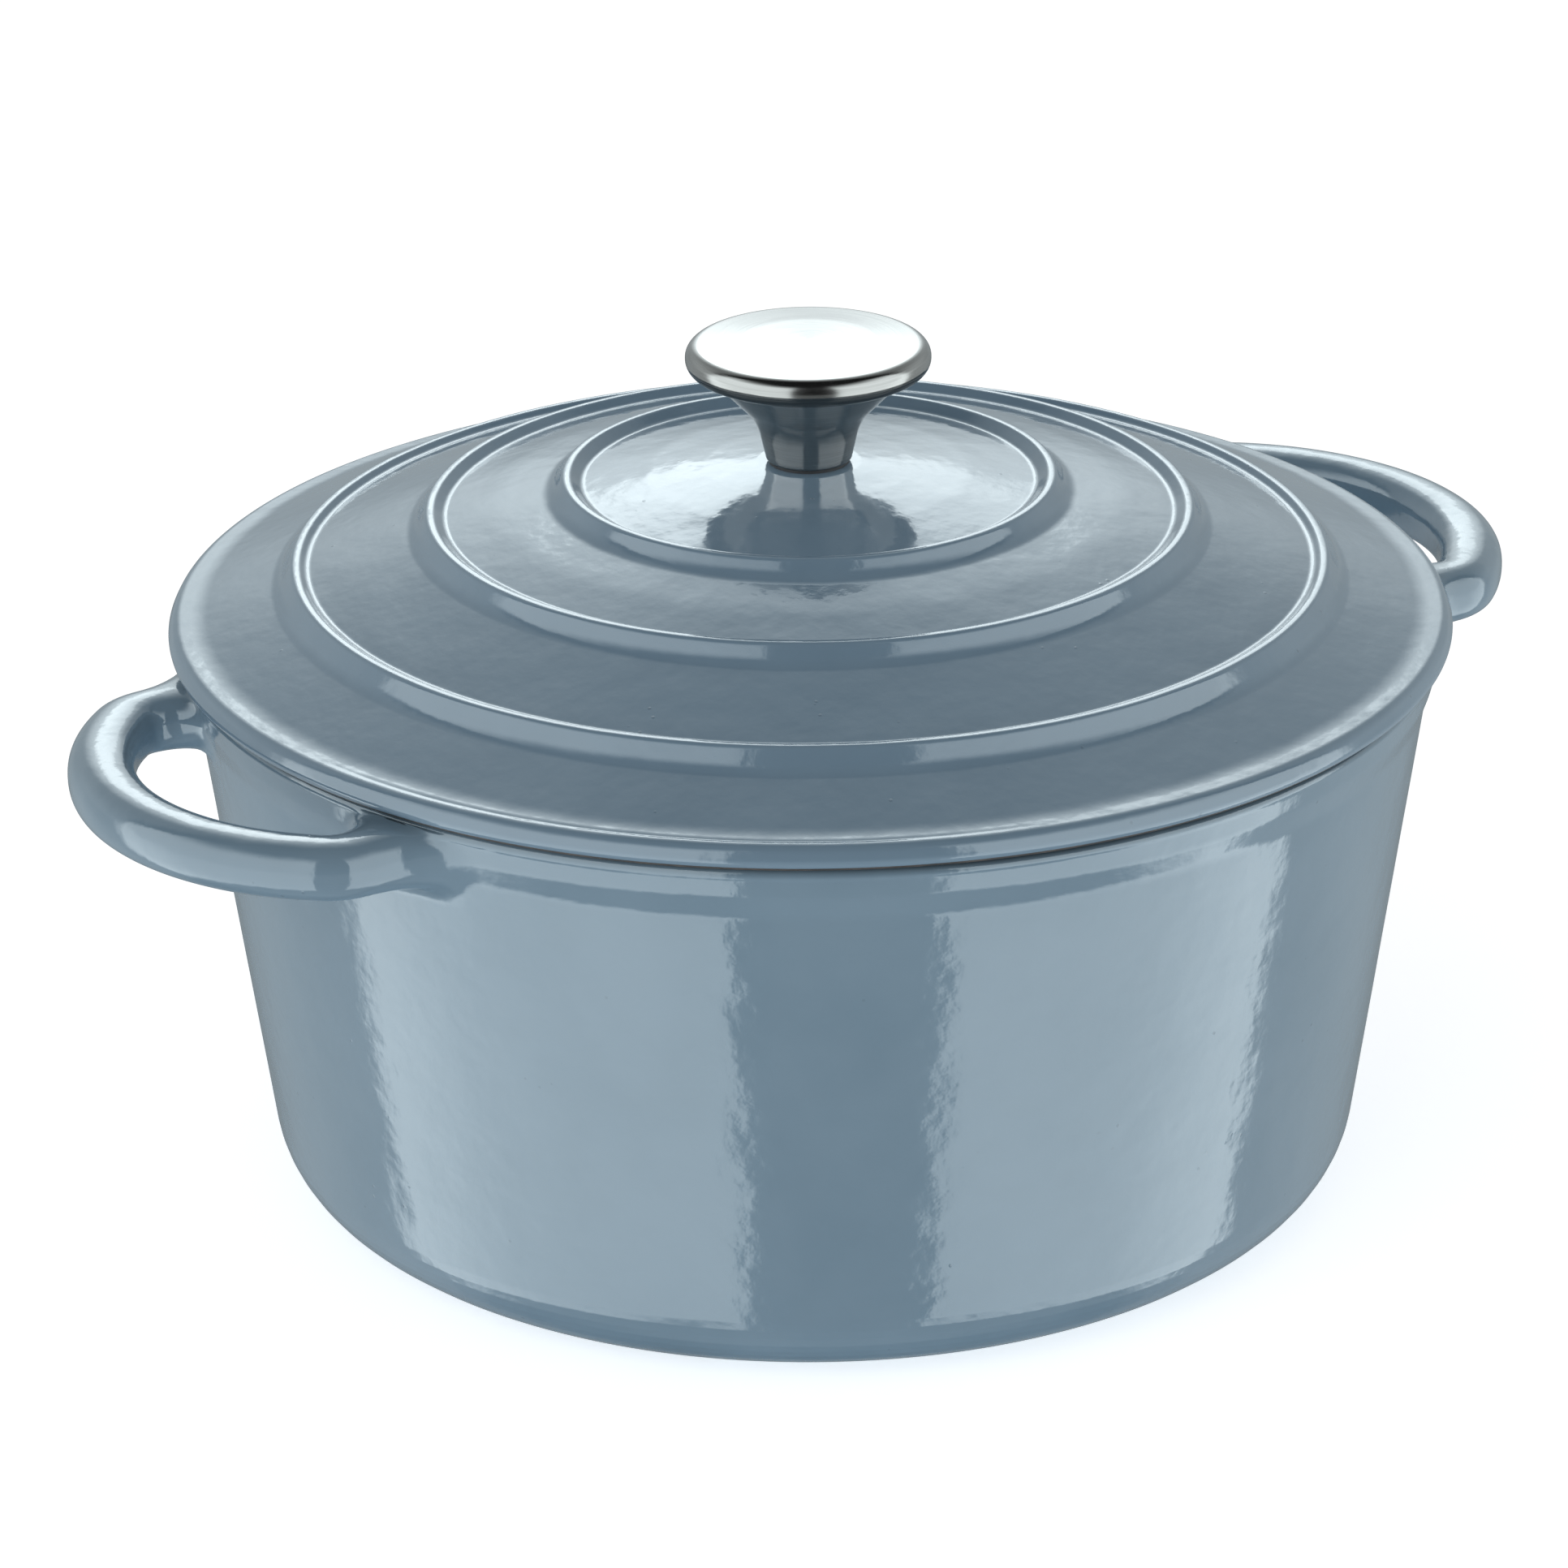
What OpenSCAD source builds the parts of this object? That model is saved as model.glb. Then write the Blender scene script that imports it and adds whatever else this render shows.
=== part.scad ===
// Round enamelled cast iron dutch oven: a pot with two cast loop handles, a stepped
// lid with three raised rings, and a steel knob held by a screw through the lid.
// Millimetres. The origin is the centre of the base, +Z is up, the handles lie along X.

/* [Pot] */
// Radius of the flat base
base_r = 99.3; // [92:0.5:106]
// Radius of the rounded corner between base and wall
base_corner_r = 18.35; // [12:0.5:24]
// Height of the pot rim above the surface it stands on
pot_h = 123.2; // [110:0.5:130]
// Outward lean of the wall, degrees from vertical
wall_draft = 8.04; // [5:0.1:9]
// Wall thickness
wall_t = 4.0; // [3.6:0.1:4.8]
// Floor thickness
floor_t = 4.6; // [4:0.1:6]
// Height of the thickened band under the rim
rim_band_h = 9.2; // [6:0.2:11]
// How far the band stands out from the wall
rim_band_t = 1.9; // [1:0.1:2.6]
// Depth of the shallow recess inside the standing ring of the base
foot_recess = 0.8; // [0.4:0.1:1.2]

/* [Handles] */
// Distance from the pot axis to the middle of the grip bar
grip_reach = 162.3; // [158:0.5:166]
// Radius of the grip's main arc, along its centre line
grip_arc_r = 55.5; // [52:0.5:58]
// Radius of the two corner bends, along the centre line
grip_corner_r = 10.6; // [10:0.1:11.2]
// Width of the bar, seen from above
grip_w = 14.2; // [13:0.2:15]
// Height of the bar
grip_h = 12.4; // [11:0.2:13]
// Height of the bar's middle above the base
grip_z = 115.3; // [114.4:0.1:115.6]
// How square the bar's section is, from 2 for an oval
bar_power = 2.4; // [2:0.1:3]

/* [Lid] */
// Largest radius of the lid, at its rounded rim
lid_r = 136; // [135:0.5:138]
// Gap between the lid and the pot rim
seat_gap = 0.3; // [0.3:0.1:0.6]
// Height of the lid rim's widest point above its underside
lid_edge_z = 3.0; // [2.6:0.1:3.4]
// Height of the lid's middle above its underside
lid_rise = 36.1; // [34:0.1:38]
// Thickness of the lid plate
lid_t = 3.6; // [3.2:0.1:4.6]
// Radius of the inner raised ring, at its crest
ring_1_r = 51.2; // [48:0.2:52]
// Height of the inner ring's crest above the lid's underside
ring_1_z = 33.6; // [32.6:0.1:34]
// Radius of the middle raised ring, at its crest
ring_2_r = 80.2; // [77:0.2:81]
// Height of the middle ring's crest above the lid's underside
ring_2_z = 26.6; // [25.4:0.1:27.2]
// Radius of the outer raised ring, at its crest
ring_3_r = 108.8; // [106:0.2:110]
// Height of the outer ring's crest above the lid's underside
ring_3_z = 16.0; // [15:0.1:16.8]
// Outer radius of the locating lip that drops inside the pot
lip_r = 127.2; // [125.5:0.1:127.4]
// Depth of the locating lip
lip_h = 5.0; // [3:0.5:6]
// Width of the locating lip
lip_w = 5.0; // [4:0.5:6]
// Number of self-basting nubs under the lid, in two circles
nub_count = 18; // [12:2:24]

/* [Knob] */
// Radius of the knob's round head
knob_r = 25.85; // [24:0.1:27]
// Height of the whole knob above the lid
knob_h = 27.0; // [25:0.1:29]
// Radius of the stem at its narrow base
stem_foot_r = 9.0; // [8:0.1:9.4]
// Radius of the stem at its neck, where it starts to flare
stem_neck_r = 11.0; // [10.4:0.1:12]
// Radius of the stem where it meets the head
stem_top_r = 21.4; // [19:0.1:22]
// Thread diameter of the knob screw
screw_d = 6; // [5:0.5:6.5]
// Length of the screw under its head
screw_l = 19.4; // [18:0.2:20]

/* [Hidden] */
fine = 160;
bar_sides = 20;

blue = "#7f98a9";
steel = "#b9bcc0";
brass = "#c9a24a";
dark = "#2f3335";

// ---- outline helpers -------------------------------------------------------

function unit(v) = v / norm(v);

// One corner [x, y, r] between its neighbours a and c, as an arc of radius r.
function round_corner(a, b, c, r, n) =
    let (p = [b[0], b[1]],
         u = unit([a[0], a[1]] - p), v = unit([c[0], c[1]] - p),
         half = acos(max(-1, min(1, u * v))) / 2,
         d = r / tan(half),
         m = unit(u + v), o = p + m * (r / sin(half)),
         s = p + u * d - o, e = p + v * d - o,
         a0 = atan2(s[1], s[0]), a1r = atan2(e[1], e[0]) - a0,
         a1 = a1r > 180 ? a1r - 360 : (a1r < -180 ? a1r + 360 : a1r))
    [for (i = [0:n]) o + r * [cos(a0 + a1 * i / n), sin(a0 + a1 * i / n)]];

// A closed outline from corners [x, y, r]; r = 0 keeps the corner sharp.
function outline(pts, n = 6) =
    let (k = len(pts))
    [for (i = [0:k - 1])
        let (a = pts[(i + k - 1) % k], b = pts[i], c = pts[(i + 1) % k])
        each (b[2] > 0 ? round_corner(a, b, c, b[2], n) : [[b[0], b[1]]])];

// ---- pot -------------------------------------------------------------------

lean = tan(wall_draft);
corner_x = base_r + base_corner_r * cos(wall_draft);
corner_z = base_corner_r * (1 - sin(wall_draft));
function wall_r(z) = corner_x + (z - corner_z) * lean;
band_z = pot_h - rim_band_h;
band_r0 = wall_r(band_z) + rim_band_t;
band_r1 = wall_r(pot_h) + rim_band_t * 0.6;
inner_t = wall_t / cos(wall_draft);
mouth_r = wall_r(pot_h) - inner_t;
inner_corner_r = base_corner_r - 2;

// Outside of the pot, as one solid of revolution.
module pot_outside() {
    rotate_extrude($fn = fine)
        polygon(outline([
            [0, foot_recess, 0],
            [88, foot_recess, 1.0],
            [90, 0, 1.2],
            [base_r + base_corner_r * 0.87, 0, base_corner_r],
            [wall_r(band_z - 1.2), band_z - 1.2, 2.0],
            [band_r0, band_z + 1.2, 1.6],
            [band_r1, pot_h, 1.8],
            [0, pot_h, 0]], 8));
}

// Space inside the pot, with the rounded inner edge of the mouth.
module pot_inside() {
    rotate_extrude($fn = fine)
        polygon(concat([[0, floor_t]],
            round_corner([0, floor_t], [wall_r(floor_t) - inner_t, floor_t],
                         [mouth_r, pot_h], inner_corner_r, 8),
            round_corner([wall_r(floor_t) - inner_t, floor_t], [mouth_r, pot_h],
                         [mouth_r + 10, pot_h + 0.4], 1.3, 6),
            [[mouth_r + 1.6, pot_h + 3], [0, pot_h + 3]]));
}

// The bar's section: an oval with slightly flattened sides, k thicker all round.
function oval(t, k) = [(grip_w / 2 + k) * sign(cos(t)) * pow(abs(cos(t)), 2 / bar_power),
                       (grip_h / 2 + k) * sign(sin(t)) * pow(abs(sin(t)), 2 / bar_power)];
module bar_section(k = 0) {
    polygon([for (i = [0:bar_sides - 1]) oval((i + 0.5) * 360 / bar_sides, k)]);
}

arc_x = grip_reach - grip_arc_r;
bend = 50;
corner_cx = arc_x + (grip_arc_r - grip_corner_r) * cos(bend);
corner_cy = (grip_arc_r - grip_corner_r) * sin(bend);
arm_y = corner_cy + grip_corner_r;
arm_in = 116;
// Each stretch of the bar swells a little towards the pot and laps over the one before.
swell = 0.15;
lap = 1.4;

module arc_bar(radius, start, sweep, k) {
    rotate([0, 0, start]) rotate_extrude(angle = sweep, $fn = fine)
        translate([radius, 0]) bar_section(k);
}

// One loop handle on the +X side, before the pot's inside is cut away.
module handle_loop() {
    lap_a = lap / grip_arc_r * 180 / PI;
    lap_c = 6;
    translate([0, 0, grip_z]) {
        translate([arc_x, 0, 0]) arc_bar(grip_arc_r, -bend - lap_a, 2 * (bend + lap_a), 0);
        translate([corner_cx, corner_cy, 0])
            arc_bar(grip_corner_r, bend - lap_c, 90 - bend + lap_c, swell);
        translate([corner_cx, -corner_cy, 0])
            arc_bar(grip_corner_r, -90, 90 - bend + lap_c, swell);
        for (s = [-1, 1])
            translate([arm_in, s * arm_y, 0]) rotate([90, 0, 90])
                linear_extrude(height = corner_cx - arm_in + lap / 2) bar_section(2 * swell);
    }
}

// Thickened roots where the arms leave the wall.
module handle_roots() {
    for (s = [-1, 1])
        translate([0, 0, grip_z - grip_h / 2 + 0.4])
            linear_extrude(height = grip_h - 0.8)
                polygon(outline([
                    [112, s * (arm_y - 14), 0],
                    [126.5, s * (arm_y - 11), 5],
                    [133.5, s * (arm_y - grip_w / 2 + 1.6), 6],
                    [133.5, s * (arm_y + grip_w / 2 - 1.6), 6],
                    [118.5, s * (arm_y + 14.5), 5],
                    [106, s * (arm_y + 15.5), 0]], 4));
}

module pot_body() {
    color(blue) difference() {
        union() {
            pot_outside();
            for (a = [0, 180]) rotate([0, 0, a]) {
                handle_loop();
                handle_roots();
            }
        }
        pot_inside();
    }
}

// ---- lid -------------------------------------------------------------------

lid_z = pot_h + seat_gap;
top_z = lid_z + lid_rise;
dome_r = 268;
function dome(r) = top_z + 0.9 - dome_r + sqrt(dome_r * dome_r - r * r);
function crown(r) = top_z - r * r / 540;

hole_r = screw_d / 2 + 0.25;

// A raised ring seen in section: inner foot, two crest corners, and the hollow at the
// foot of its outer step. run_in and run_out are the feet's distances from the crest.
function ring_corners(r, z, run_in, rise, run_out, drop) =
    let (zc = lid_z + z)
    [[r - run_in, zc - rise, 1.8], [r - 0.7, zc + 0.2, 1.2],
     [r + 0.9, zc + 0.1, 1.3], [r + run_out, zc - drop, 5.0]];

module lid_shell() {
    rotate_extrude($fn = fine)
        polygon(outline([
            [hole_r, top_z, 0],
            [11, top_z, 0],
            [22, crown(22), 0],
            [34, crown(34), 0],
            each ring_corners(ring_1_r, ring_1_z, 3.2, 1.8, 3.3, 3.45),
            [66, lid_z + 27.95, 110],
            each ring_corners(ring_2_r, ring_2_z, 3.1, 1.35, 3.4, 3.8),
            each ring_corners(ring_3_r, ring_3_z, 2.4, 0.95, 3.8, 4.4),
            // rim: the slope eases into a nearly flat flange, then a rounded edge
            [lid_r - 6.6, lid_z + lid_edge_z + 2.84, 16],
            [lid_r - 1.1, lid_z + lid_edge_z + 2.2, 1.3],
            [lid_r + 0.55, lid_z + lid_edge_z - 1.1, 1.6],
            [lid_r - 1.7, lid_z, 0.5],
            // underside: seat, locating lip, then the hollow
            [lip_r, lid_z, 0.5],
            [lip_r - 0.6, lid_z - lip_h, 1.4],
            [lip_r - lip_w, lid_z - lip_h, 1.4],
            [lip_r - lip_w - 1.0, lid_z + 1.4, 2.5],
            [ring_3_r + 2.6, dome(ring_3_r + 2.6) - lid_t - 2.3, 3.0],
            [ring_3_r - 2.8, dome(ring_3_r - 2.8) - lid_t - 1.6, 3.0],
            [ring_2_r + 2.2, dome(ring_2_r + 2.2) - lid_t - 1.6, 3.0],
            [ring_2_r - 3.2, dome(ring_2_r - 3.2) - lid_t - 1.5, 3.0],
            [ring_1_r + 2.2, dome(ring_1_r + 2.2) - lid_t - 1.5, 3.0],
            [ring_1_r - 3.4, dome(ring_1_r - 3.4) - lid_t - 1.5, 3.0],
            [16, crown(16) - lid_t, 2.0],
            [13.5, top_z - lid_t - 1.6, 1.2],
            [hole_r, top_z - lid_t - 1.6, 0]], 4));
}

module lid() {
    color(blue) {
        lid_shell();
        // self-basting nubs
        for (i = [0:nub_count - 1])
            let (outer = i % 2 == 0, r = outer ? 94 : 64, zt = dome(r) - lid_t - 1.2)
            rotate([0, 0, 360 / nub_count * i]) translate([r, 0, zt - 2.6])
                union() {
                    translate([0, 0, 2.0]) cylinder(r = 2.5, h = 2.6, $fn = 32);
                    translate([0, 0, 2.0]) sphere(r = 2.5, $fn = 32);
                }
    }
}

// ---- knob ------------------------------------------------------------------

gasket_t = 0.6;
insert_r = 5.0;
stem_z = top_z + gasket_t;
head_top = top_z + knob_h;
head_z = top_z + 20.2;

// Flared stem, hollow for the insert.
module knob_stem() {
    color(steel) rotate_extrude($fn = 120)
        polygon(outline([
            [insert_r, stem_z, 0],
            [stem_foot_r, stem_z, 0.9],
            [stem_neck_r, stem_z + 8.8, 12],
            [stem_top_r, head_z, 0],
            [insert_r, head_z, 0]], 8));
}

// Solid round head with a full round edge and a slightly crowned top.
module knob_head() {
    color(steel) rotate_extrude($fn = 120)
        polygon(outline([
            [0, head_z, 0],
            [stem_top_r + 0.4, head_z, 0],
            [knob_r, head_z - 0.3, 2.9],
            [knob_r, head_z + 5.8, 2.9],
            [14, head_top - 0.35, 0],
            [0, head_top, 0]], 8));
}

// Threaded bush pressed into the stem.
module knob_insert() {
    color(brass) translate([0, 0, stem_z]) rotate_extrude($fn = 96)
        polygon([[screw_d / 2, 0], [insert_r, 0], [insert_r, 16], [0, 16], [0, 14.6], [screw_d / 2, 14.6]]);
}

// Thin heat-proof washer between knob and enamel.
module knob_gasket() {
    color(dark) translate([0, 0, top_z]) rotate_extrude($fn = 96)
        polygon([[screw_d / 2 + 0.3, 0], [stem_foot_r - 0.5, 0],
                 [stem_foot_r - 0.5, gasket_t], [screw_d / 2 + 0.3, gasket_t]]);
}

under_z = top_z - lid_t - 1.6;

// Flat steel washer under the lid.
module screw_washer() {
    color(steel) translate([0, 0, under_z - 1.6]) rotate_extrude($fn = 96)
        polygon(outline([[screw_d / 2 + 0.2, 0, 0], [9, 0, 0.3], [9, 1.6, 0.3],
                 [screw_d / 2 + 0.2, 1.6, 0]], 3));
}

// Split spring washer under the screw head.
module lock_washer() {
    color(steel) translate([0, 0, under_z - 3.1]) difference() {
        rotate_extrude($fn = 96)
            polygon([[screw_d / 2 + 0.1, 0], [5.6, 0], [5.6, 1.5], [screw_d / 2 + 0.1, 1.5]]);
        translate([0, 0, -1]) rotate([0, 0, 20]) rotate([12, 0, 0])
            translate([2, -0.5, -1]) cube([6, 1.0, 6]);
    }
}

// Pan head screw with a cross recess, up through the lid into the insert.
module knob_screw() {
    head_h = 3.6;
    z0 = under_z - 3.1 - head_h;
    color(steel) difference() {
        union() {
            rotate_extrude($fn = 96)
                polygon(outline([[0, z0, 0], [5.9, z0, 2.4], [6.1, z0 + head_h, 0.3],
                                 [0, z0 + head_h, 0]], 6));
            translate([0, 0, z0 + head_h - 0.2]) cylinder(d = screw_d - 0.02, h = screw_l - 0.8, $fn = 96);
            translate([0, 0, z0 + head_h - 0.2 + screw_l - 0.8])
                cylinder(d1 = screw_d - 0.02, d2 = screw_d - 1.6, h = 1.0, $fn = 96);
        }
        for (a = [0, 90]) rotate([0, 0, a])
            translate([-3.4, -0.6, z0 - 1]) cube([6.8, 1.2, 3.0]);
    }
}

pot_body();
lid();
knob_head();
knob_stem();
knob_insert();
knob_gasket();
screw_washer();
lock_washer();
knob_screw();
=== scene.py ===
"""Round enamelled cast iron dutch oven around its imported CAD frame: pot with two cast
loop handles, stepped lid with three raised rings, brushed steel knob."""

import math

import bmesh
import bpy
import numpy as np
from mathutils import Matrix, Vector


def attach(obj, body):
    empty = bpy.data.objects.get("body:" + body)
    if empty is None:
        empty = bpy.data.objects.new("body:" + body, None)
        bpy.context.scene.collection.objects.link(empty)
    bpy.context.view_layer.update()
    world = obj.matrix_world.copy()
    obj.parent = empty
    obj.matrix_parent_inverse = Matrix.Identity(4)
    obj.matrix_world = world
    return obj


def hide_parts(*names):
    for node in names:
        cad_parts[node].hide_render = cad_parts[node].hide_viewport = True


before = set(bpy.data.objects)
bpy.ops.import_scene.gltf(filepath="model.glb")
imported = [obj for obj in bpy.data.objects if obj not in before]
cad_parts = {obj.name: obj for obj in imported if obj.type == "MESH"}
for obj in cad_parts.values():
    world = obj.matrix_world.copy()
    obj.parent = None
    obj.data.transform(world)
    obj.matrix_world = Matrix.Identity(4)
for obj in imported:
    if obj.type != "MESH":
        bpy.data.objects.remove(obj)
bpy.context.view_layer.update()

MM = 0.001
PHI = math.radians(32.3)          # turn of the handle axis away from the picture plane


# ---------------------------------------------------------------- profiles

def unit(v):
    return v / np.linalg.norm(v)


def round_corner(a, b, c, r, n):
    """Corner b between a and c as an arc of radius r, n pieces."""
    a, b, c = (np.array(q[:2], float) for q in (a, b, c))
    u, v = unit(a - b), unit(c - b)
    half = math.acos(max(-1, min(1, float(u @ v)))) / 2
    d = r / math.tan(half)
    m = unit(u + v)
    o = b + m * (r / math.sin(half))
    s, e = b + u * d - o, b + v * d - o
    a0, a1 = math.atan2(s[1], s[0]), math.atan2(e[1], e[0])
    sweep = a1 - a0
    if sweep > math.pi:
        sweep -= 2 * math.pi
    if sweep < -math.pi:
        sweep += 2 * math.pi
    return [o + r * np.array([math.cos(a0 + sweep * i / n), math.sin(a0 + sweep * i / n)]) for i in range(n + 1)]


def outline(pts, n, closed=True):
    """Rounded outline of corners [r, z, radius] or [r, z, radius, tag]; returns points and one tag a point."""
    out, tags = [], []
    k = len(pts)
    for i in range(k):
        b = pts[i]
        tag = b[3] if len(b) > 3 else 0
        if b[2] > 0 and (closed or 0 < i < k - 1):
            arc = round_corner(pts[(i - 1) % k], b, pts[(i + 1) % k], b[2], n)
            out += arc
            tags += [tag] * len(arc)
        else:
            out.append(np.array(b[:2], float))
            tags.append(tag)
    return np.array(out), tags


def graded(points, tags, longest, closed, start=0.3):
    """Adds points on the long stretches: close together near their ends, up to `longest` apart between."""
    out, t_out = [], []
    k = len(points)
    last = k if closed else k - 1
    for i in range(last):
        a, b = points[i], points[(i + 1) % k]
        length = float(np.linalg.norm(b - a))
        out.append(a)
        t_out.append(tags[i])
        if length > 1.5 * start:
            step, at, lows = start, 0.0, []
            while at + step < length / 2:
                at += step
                lows.append(at)
                step = min(step * 1.7, longest)
            highs = [length - q for q in lows][::-1]
            if highs and highs[0] - lows[-1] > longest:
                m = int(math.ceil((highs[0] - lows[-1]) / longest))
                mids = [lows[-1] + (highs[0] - lows[-1]) * j / m for j in range(1, m)]
            else:
                mids = []
            spots = lows + mids + highs
            keep = []
            for q in spots:
                if not keep or q - keep[-1] > 0.12:
                    keep.append(q)
            tag = tags[i] if tags[i] == tags[(i + 1) % k] else max(tags[i], tags[(i + 1) % k])
            for q in keep:
                out.append(a + (b - a) * q / length)
                t_out.append(tag)
    if not closed:
        out.append(points[-1])
        t_out.append(tags[-1])
    return np.array(out), t_out


# ---------------------------------------------------------------- mesh helpers

def ripple(p, seed, scales):
    """Smooth pseudo-random field of a few crossed waves, about -1 to 1, at points p in mm."""
    rng = np.random.default_rng(seed)
    out = np.zeros(len(p))
    total = 0.0
    for wave, weight, count in scales:
        for _ in range(count):
            d = rng.normal(size=3)
            d /= np.linalg.norm(d)
            k = 2 * math.pi / (wave * rng.uniform(0.7, 1.4))
            out += weight * np.sin(p @ d * k + rng.uniform(0, 6.283))
        total += weight * math.sqrt(count / 2.0) * 1.8
    return np.clip(out / total, -1, 1)


def make_mesh(name, verts_mm, faces, mats, face_mats=None, smooth=True):
    me = bpy.data.meshes.new(name)
    me.from_pydata((np.asarray(verts_mm, float) * MM).tolist(), [], faces)
    for m in mats:
        me.materials.append(m)
    if face_mats is not None:
        me.polygons.foreach_set("material_index", np.asarray(face_mats, dtype=np.int32))
    bm = bmesh.new()
    bm.from_mesh(me)
    bmesh.ops.recalc_face_normals(bm, faces=bm.faces)
    bm.to_mesh(me)
    bm.free()
    me.polygons.foreach_set("use_smooth", [smooth] * len(me.polygons))
    me.update()
    ob = bpy.data.objects.new(name, me)
    bpy.context.scene.collection.objects.link(ob)
    return ob


def revolve(profile, n):
    """Rows of a profile turned about Z. Points at r = 0 become single poles. Returns verts, index rows."""
    ang = np.arange(n) * 2 * math.pi / n
    c, s = np.cos(ang), np.sin(ang)
    verts, rows = [], []
    for r, z in profile:
        if r < 1e-9:
            rows.append(np.full(n, len(verts)))
            verts.append((0.0, 0.0, z))
        else:
            rows.append(np.arange(len(verts), len(verts) + n))
            verts.extend(zip(r * c, r * s, np.full(n, z)))
    return np.array(verts, float), rows


def skin(rows, closed, tags, skip=()):
    """Quads between rows, a fan at poles; a face takes the tag shared by its two rows, or the lower one."""
    faces, mats = [], []
    n = len(rows[0])
    k = len(rows)
    for j in range(k if closed else k - 1):
        a, b = rows[j], rows[(j + 1) % k]
        tag = min(tags[j], tags[(j + 1) % k])
        pole_a, pole_b = a[0] == a[1], b[0] == b[1]
        for i in range(n):
            i2 = (i + 1) % n
            if (j, i) in skip:
                continue
            if pole_a:
                f = (int(a[0]), int(b[i2]), int(b[i]))
            elif pole_b:
                f = (int(a[i]), int(a[i2]), int(b[0]))
            else:
                f = (int(a[i]), int(a[i2]), int(b[i2]), int(b[i]))
            faces.append(f)
            mats.append(tag)
    return faces, mats


# ---------------------------------------------------------------- node helpers

class Val:
    """A socket or a number that can be used in arithmetic; every operation adds a Math node."""

    def __init__(self, tree, s):
        self.tree, self.s = tree, s

    def math(self, op, *others, clamp=False):
        n = self.tree.nodes.new("ShaderNodeMath")
        n.operation = op
        n.use_clamp = clamp
        for i, v in enumerate((self, *others)):
            v = v.s if isinstance(v, Val) else v
            if isinstance(v, (int, float)):
                n.inputs[i].default_value = v
            else:
                self.tree.links.new(v, n.inputs[i])
        return Val(self.tree, n.outputs[0])

    def __add__(self, o): return self.math("ADD", o)
    def __sub__(self, o): return self.math("SUBTRACT", o)
    def __mul__(self, o): return self.math("MULTIPLY", o)
    def __truediv__(self, o): return self.math("DIVIDE", o)

    def step(self, lo, hi, out0=0.0, out1=1.0):
        n = self.tree.nodes.new("ShaderNodeMapRange")
        n.interpolation_type = "SMOOTHSTEP"
        self.tree.links.new(self.s, n.inputs["Value"])
        n.inputs["From Min"].default_value = lo
        n.inputs["From Max"].default_value = hi
        n.inputs["To Min"].default_value = out0
        n.inputs["To Max"].default_value = out1
        return Val(self.tree, n.outputs["Result"])

    def line(self, lo, hi, out0=0.0, out1=1.0):
        n = self.tree.nodes.new("ShaderNodeMapRange")
        self.tree.links.new(self.s, n.inputs["Value"])
        n.inputs["From Min"].default_value = lo
        n.inputs["From Max"].default_value = hi
        n.inputs["To Min"].default_value = out0
        n.inputs["To Max"].default_value = out1
        return Val(self.tree, n.outputs["Result"])

    def between(self, a, b, c, d):
        return self.step(a, b) * self.step(c, d, 1.0, 0.0)


def link(tree, a, b):
    tree.links.new(a.s if isinstance(a, Val) else a, b)


def noise(tree, coord, scale, detail=2.0, rough=0.5, distortion=0.0):
    n = tree.nodes.new("ShaderNodeTexNoise")
    n.inputs["Scale"].default_value = scale
    n.inputs["Detail"].default_value = detail
    n.inputs["Roughness"].default_value = rough
    n.inputs["Distortion"].default_value = distortion
    link(tree, coord, n.inputs["Vector"])
    return Val(tree, n.outputs["Fac"])


def mix_colour(tree, fac, a, b):
    n = tree.nodes.new("ShaderNodeMix")
    n.data_type = "RGBA"
    for s, v in ((n.inputs[6], a), (n.inputs[7], b)):
        if isinstance(v, (tuple, list)):
            s.default_value = (*v, 1.0)
        else:
            link(tree, v, s)
    link(tree, fac, n.inputs[0])
    return n.outputs[2]


def new_material(name):
    m = bpy.data.materials.new(name)
    m.use_nodes = True
    t = m.node_tree
    p = t.nodes["Principled BSDF"]
    coord = t.nodes.new("ShaderNodeTexCoord").outputs["Object"]
    return m, t, p, coord


def bump(tree, height, distance, strength=1.0, normal=None):
    b = tree.nodes.new("ShaderNodeBump")
    b.inputs["Strength"].default_value = strength
    b.inputs["Distance"].default_value = distance
    link(tree, height, b.inputs["Height"])
    if normal is not None:
        tree.links.new(normal, b.inputs["Normal"])
    return b.outputs["Normal"]


def enamel(name, base, deep, pale, gloss=0.09, wave=1.0):
    """Glossy fired enamel over cast iron: slow colour drift, orange peel, and a few pits."""
    m, t, p, coord = new_material(name)
    drift = noise(t, coord, 38.0, 3.0, 0.55).step(0.32, 0.68)
    fine = noise(t, coord, 900.0, 2.0, 0.6).step(0.35, 0.65)
    col = mix_colour(t, drift, deep, pale)
    col = mix_colour(t, fine * 0.25, col, base)
    speck = t.nodes.new("ShaderNodeTexVoronoi")
    speck.inputs["Scale"].default_value = 260.0
    link(t, coord, speck.inputs["Vector"])
    gate = noise(t, coord, 60.0, 1.0).step(0.60, 0.66)
    spot = Val(t, speck.outputs["Distance"]).step(0.05, 0.13, 1.0, 0.0) * gate
    col = mix_colour(t, spot * 0.35, col, tuple(c * 0.45 for c in base))
    t.links.new(col, p.inputs["Base Color"])
    rough = noise(t, coord, 150.0, 2.0).line(0.3, 0.7, gloss * 0.85, gloss * 1.25)
    link(t, rough, p.inputs["Roughness"])
    p.inputs["IOR"].default_value = 1.52
    n = bump(t, noise(t, coord, 95.0, 2.0, 0.45), 0.00016 * wave)
    n = bump(t, noise(t, coord, 420.0, 2.0, 0.5), 0.000028 * wave, normal=n)
    n = bump(t, spot, 0.00003, normal=n)
    t.links.new(n, p.inputs["Normal"])
    return m


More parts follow.
